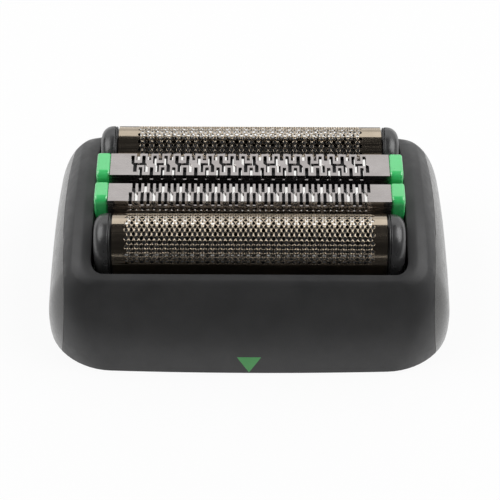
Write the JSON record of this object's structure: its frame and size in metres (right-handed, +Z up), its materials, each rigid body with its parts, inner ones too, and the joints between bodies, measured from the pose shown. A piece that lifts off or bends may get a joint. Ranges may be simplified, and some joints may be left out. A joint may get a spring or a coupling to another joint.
{
  "type": "shaver foil head",
  "caption": "Foil shaver head: arched foils and slotted trimmers float on springs in a moulded casing, with blades beneath them that a drive slides to and fro.",
  "frame": {"origin": "middle of the base rim, on the plane that the casing stands on", "axes": "+X along the foils, -Y is the front, +Z up through the foils"},
  "size_m": [0.0598, 0.0384, 0.0216],
  "materials": {
    "casing_plastic": "fine satin texture",
    "panel_plastic": "satin",
    "chassis_plastic": "satin",
    "frame_plastic": "satin",
    "carrier_plastic": "semi-gloss",
    "holder_plastic": "satin",
    "bridge_plastic": "satin",
    "foil_steel": "perforated, satin",
    "comb_steel": "satin",
    "blade_steel": "ground",
    "spring_steel": "drawn wire"
  },
  "bodies": {
    "casing": {"casing": "casing_plastic", "side_panel_left": "panel_plastic", "side_panel_right": "panel_plastic", "chassis": "chassis_plastic", "spring_foil_front_left": "spring_steel", "spring_foil_front_right": "spring_steel", "spring_foil_rear_left": "spring_steel", "spring_foil_rear_right": "spring_steel", "spring_trimmer_front_left": "spring_steel", "spring_trimmer_front_right": "spring_steel", "spring_trimmer_rear_left": "spring_steel", "spring_trimmer_rear_right": "spring_steel"},
    "foil_front": {"foil_front": "foil_steel", "foil_frame_front": "frame_plastic"},
    "cutter_front": {"cutter_blades_front": "blade_steel", "cutter_carrier_front": "holder_plastic"},
    "trimmer_front": {"trimmer_comb_front": "comb_steel", "trimmer_carrier_front": "carrier_plastic"},
    "trimmer_blade_front": {"trimmer_blade_front": "blade_steel", "blade_holder_front": "holder_plastic"},
    "drive_front": {"drive_bridge_front": "bridge_plastic"},
    "foil_rear": {"foil_rear": "foil_steel", "foil_frame_rear": "frame_plastic"},
    "cutter_rear": {"cutter_blades_rear": "blade_steel", "cutter_carrier_rear": "holder_plastic"},
    "trimmer_rear": {"trimmer_comb_rear": "comb_steel", "trimmer_carrier_rear": "carrier_plastic"},
    "trimmer_blade_rear": {"trimmer_blade_rear": "blade_steel", "blade_holder_rear": "holder_plastic"},
    "drive_rear": {"drive_bridge_rear": "bridge_plastic"}
  },
  "joints": [
    {"name": "foil_front_float", "type": "slide", "parent": "casing", "child": "foil_front", "axis": [0, 0, 1], "range_m": [-0.002, 0], "stiffness_N_per_m": 300, "springref_m": 0.002, "deforming": ["spring_foil_front_left", "spring_foil_front_right"]},
    {"name": "trimmer_front_float", "type": "slide", "parent": "casing", "child": "trimmer_front", "axis": [0, 0, 1], "range_m": [-0.002, 0], "stiffness_N_per_m": 300, "springref_m": 0.002, "deforming": ["spring_trimmer_front_left", "spring_trimmer_front_right"]},
    {"name": "drive_front_slide", "type": "slide", "parent": "casing", "child": "drive_front", "axis": [1, 0, 0], "range_m": [-0.0012, 0.0012]},
    {"name": "cutter_front_slide", "type": "slide", "parent": "foil_front", "child": "cutter_front", "axis": [1, 0, 0], "range_m": [-0.0012, 0.0012]},
    {"name": "trimmer_blade_front_slide", "type": "slide", "parent": "trimmer_front", "child": "trimmer_blade_front", "axis": [1, 0, 0], "range_m": [-0.0012, 0.0012]},
    {"name": "foil_rear_float", "type": "slide", "parent": "casing", "child": "foil_rear", "axis": [0, 0, 1], "range_m": [-0.002, 0], "stiffness_N_per_m": 300, "springref_m": 0.002, "deforming": ["spring_foil_rear_left", "spring_foil_rear_right"]},
    {"name": "trimmer_rear_float", "type": "slide", "parent": "casing", "child": "trimmer_rear", "axis": [0, 0, 1], "range_m": [-0.002, 0], "stiffness_N_per_m": 300, "springref_m": 0.002, "deforming": ["spring_trimmer_rear_left", "spring_trimmer_rear_right"]},
    {"name": "drive_rear_slide", "type": "slide", "parent": "casing", "child": "drive_rear", "axis": [1, 0, 0], "range_m": [-0.0012, 0.0012]},
    {"name": "cutter_rear_slide", "type": "slide", "parent": "foil_rear", "child": "cutter_rear", "axis": [1, 0, 0], "range_m": [-0.0012, 0.0012]},
    {"name": "trimmer_blade_rear_slide", "type": "slide", "parent": "trimmer_rear", "child": "trimmer_blade_rear", "axis": [1, 0, 0], "range_m": [-0.0012, 0.0012]}
  ],
  "couplings": [
    {"joint": "cutter_front_slide", "follows": "drive_front_slide", "ratio": 1},
    {"joint": "trimmer_blade_front_slide", "follows": "drive_front_slide", "ratio": 1},
    {"joint": "cutter_rear_slide", "follows": "drive_rear_slide", "ratio": 1},
    {"joint": "trimmer_blade_rear_slide", "follows": "drive_rear_slide", "ratio": 1}
  ]
}
